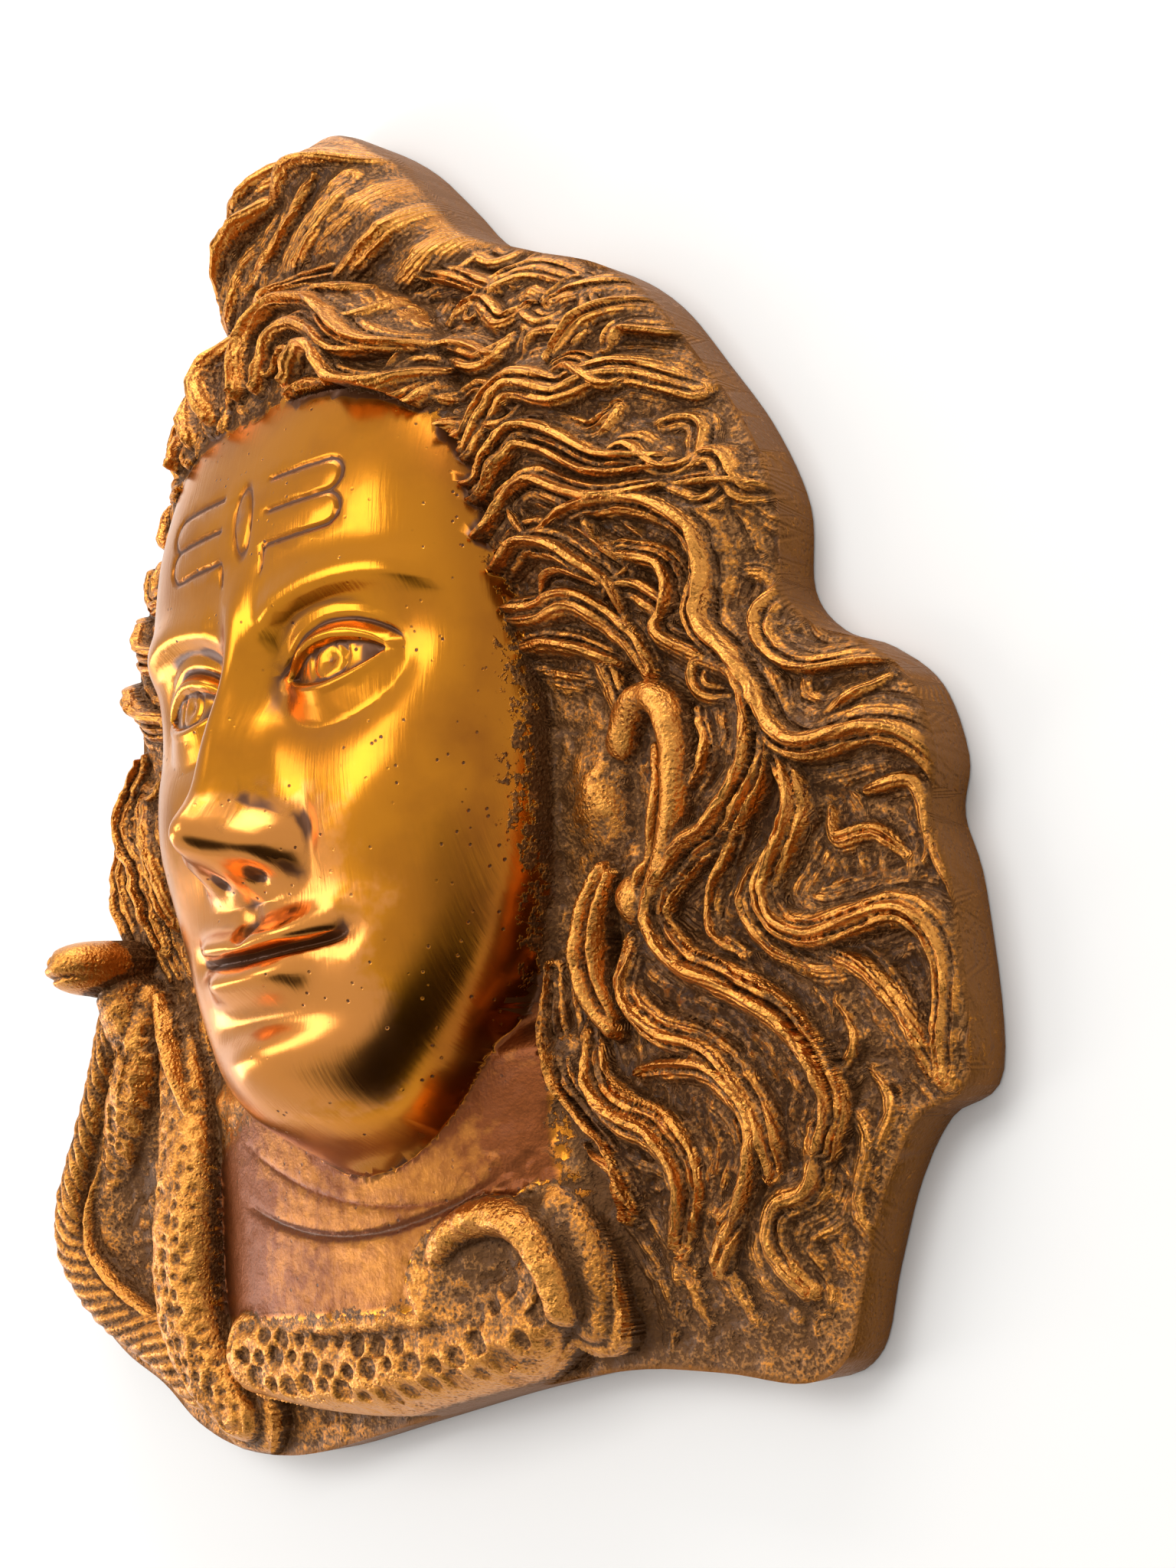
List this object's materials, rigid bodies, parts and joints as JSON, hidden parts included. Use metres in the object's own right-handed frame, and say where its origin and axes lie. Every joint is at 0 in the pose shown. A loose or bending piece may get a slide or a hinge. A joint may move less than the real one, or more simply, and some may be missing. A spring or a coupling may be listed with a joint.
{
  "type": "wall mask",
  "caption": "Hollow-backed cast brass wall mask of a deity's head with topknot, wavy locks, a rearing cobra and a snake round the neck.",
  "frame": {"origin": "bottom centre of the box: the mask lies on its back on the filed flat of its rim", "axes": "+Z out of the face, +X to the viewer's right, +Y towards the topknot"},
  "size_m": [0.2332, 0.2562, 0.0634],
  "materials": {
    "antique_brass": "polished on the face, dark brown patina in the hair, snake and rim"
  },
  "bodies": {
    "root": {"shiva_mask": "antique_brass"}
  },
  "joints": []
}
